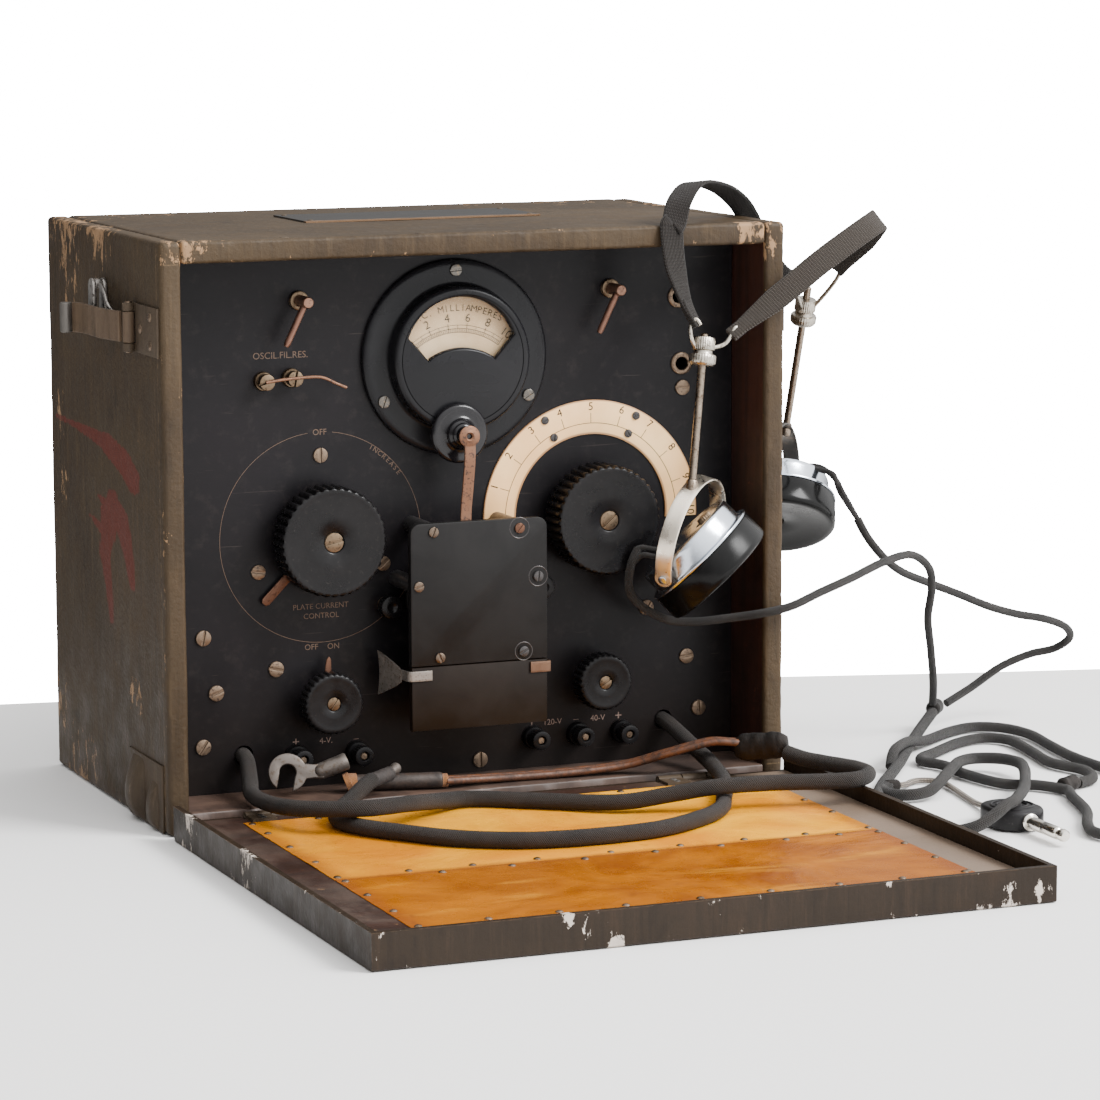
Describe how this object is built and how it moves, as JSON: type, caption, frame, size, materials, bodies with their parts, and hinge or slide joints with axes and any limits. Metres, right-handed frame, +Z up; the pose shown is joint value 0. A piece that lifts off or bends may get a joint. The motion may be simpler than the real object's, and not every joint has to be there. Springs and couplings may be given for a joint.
{
  "type": "vintage tube receiver",
  "caption": "Portable valve radio set in a painted wooden case with drop-down front, meter, knobs and dial, with a double headset, its cords and battery leads hung on it.",
  "frame": {"origin": "centre of the underside of the wooden case, on the floor", "axes": "+Z up, -Y towards the operator (the open front and the door), +X to the operator's right"},
  "size_m": [0.573, 0.49, 0.3112],
  "materials": {
    "painted_case": "worn olive paint",
    "bare_wood": "stained wood",
    "painted_steel": "worn olive paint on steel",
    "plate_steel": "dark plate with worn edges",
    "black_panel": "satin moulded sheet",
    "black_gloss": "polished moulding",
    "brass_dark": "dulled brass",
    "copper": "brown copper",
    "cream_card": "aged card",
    "clear_glass": "clear",
    "ivory": "yellowed scale",
    "aluminium": "dull",
    "steel": "worn",
    "tube_glass": "silvered",
    "iron": "lacquered core",
    "amber_sheet": "aged clear sheet",
    "cloth_cable": "ribbed braid",
    "orange_rubber": "aged rubber",
    "lead_metal": "grey lead",
    "tape": "friction tape",
    "webbing": "woven webbing",
    "nickel": "nickel plate",
    "cord_cloth": "cotton braid"
  },
  "bodies": {
    "case": {"side_board_left": "painted_case", "side_board_right": "painted_case", "top_board": "painted_case", "bottom_board": "bare_wood", "back_board": "painted_case", "top_plate": "plate_steel", "corner_shoes": "painted_steel", "latch_leaves": "painted_steel", "strap_loops": "steel", "case_hinges": "painted_steel", "panel": "black_panel", "panel_rails": "bare_wood", "panel_screws": "brass_dark", "meter_case": "black_gloss", "meter_card": "cream_card", "meter_glass": "clear_glass", "meter_movement": "iron", "dial_scale": "ivory", "condenser_stator": "aluminium", "rheostat_body": "iron", "switch_bodies": "black_panel", "lever_bushings": "brass_dark", "copper_straps": "copper", "lead_insulator": "black_gloss", "coil_card": "black_panel", "binding_posts": "black_panel", "jack_sockets": "black_panel", "tube_shelf": "bare_wood", "vacuum_tubes": "tube_glass", "transformer": "iron", "battery_cable_left": "cloth_cable", "battery_cable_right": "cloth_cable", "rubber_wires": "orange_rubber", "lead_lugs": "lead_metal", "cord_joints": "tape", "head_bands": "webbing", "band_swivels": "nickel", "branch_cord_1": "cord_cloth", "branch_cord_2": "cord_cloth", "trunk_cord": "cord_cloth", "loop_cord": "cord_cloth", "phone_plug": "black_gloss"},
    "door": {"door_pan": "painted_steel", "door_board": "bare_wood", "celluloid_sheets": "amber_sheet", "hinge_door_leaves": "painted_steel"},
    "left_latch": {"latch_strap_left": "painted_steel"},
    "right_latch": {"latch_strap_right": "painted_steel"},
    "needle": {"meter_needle": "plate_steel"},
    "tuning_dial": {"dial_knob": "black_gloss", "condenser_rotor": "aluminium"},
    "rheostat": {"rheostat_knob": "black_gloss"},
    "filament_switch": {"switch_knob": "black_gloss"},
    "fine_control": {"fine_knob": "black_gloss"},
    "left_lever": {"lever_left": "copper"},
    "right_lever": {"lever_right": "copper"},
    "yoke_one": {"yoke_1": "nickel"},
    "yoke_two": {"yoke_2": "nickel"},
    "earphone_one": {"earpiece_1": "nickel"},
    "earphone_two": {"earpiece_2": "nickel"}
  },
  "joints": [
    {"name": "door_hinge", "type": "hinge", "parent": "case", "child": "door", "pos_m": [0, -0.109, 0.00865], "axis": [-1, 0, 0], "range_deg": [0, 60], "deforming": ["battery_cable_left", "battery_cable_right", "rubber_wires"]},
    {"name": "left_latch_pivot", "type": "hinge", "parent": "case", "child": "left_latch", "pos_m": [-0.1684, -0.058, 0.246], "axis": [0, 0, 1], "range_deg": [0, 125]},
    {"name": "right_latch_pivot", "type": "hinge", "parent": "case", "child": "right_latch", "pos_m": [0.1684, -0.058, 0.246], "axis": [0, 0, -1], "range_deg": [0, 15]},
    {"name": "needle_pivot", "type": "hinge", "parent": "case", "child": "needle", "pos_m": [-0.0005, -0.069, 0.2015], "axis": [0, 1, 0], "range_deg": [0, 74]},
    {"name": "tuning_dial_turn", "type": "hinge", "parent": "case", "child": "tuning_dial", "pos_m": [0.0743, -0.076, 0.1403], "axis": [0, 1, 0], "range_deg": [-90, 90]},
    {"name": "rheostat_turn", "type": "hinge", "parent": "case", "child": "rheostat", "pos_m": [-0.0714, -0.076, 0.137], "axis": [0, 1, 0], "range_deg": [-225, 30]},
    {"name": "filament_switch_turn", "type": "hinge", "parent": "case", "child": "filament_switch", "pos_m": [-0.072, -0.076, 0.0555], "axis": [0, 1, 0], "range_deg": [-15, 12]},
    {"name": "fine_control_turn", "type": "hinge", "parent": "case", "child": "fine_control", "pos_m": [0.0745, -0.076, 0.056], "axis": [0, 1, 0], "range_deg": [-150, 150]},
    {"name": "left_lever_turn", "type": "hinge", "parent": "case", "child": "left_lever", "pos_m": [-0.082, -0.073, 0.256], "axis": [0, 1, 0], "range_deg": [-40, 40]},
    {"name": "right_lever_turn", "type": "hinge", "parent": "case", "child": "right_lever", "pos_m": [0.085, -0.073, 0.256], "axis": [0, 1, 0], "range_deg": [-40, 40]},
    {"name": "rod_one_slide", "type": "slide", "parent": "case", "child": "yoke_one", "axis": [0.1489, 0.1326, 0.9799], "range_m": [0, 0.008]},
    {"name": "rod_two_slide", "type": "slide", "parent": "case", "child": "yoke_two", "axis": [0.02, -0.2867, 0.9578], "range_m": [0, 0.01]},
    {"name": "earphone_one_tilt", "type": "hinge", "parent": "yoke_one", "child": "earphone_one", "pos_m": [0.1092, -0.108, 0.1287], "axis": [-0.7211, -0.5453, -0.4274], "range_deg": [-10, 10]},
    {"name": "earphone_two_tilt", "type": "hinge", "parent": "yoke_two", "child": "earphone_two", "pos_m": [0.2029, -0.01, 0.1395], "axis": [-0.5313, -0.6377, 0.5577], "range_deg": [-10, 10]}
  ]
}
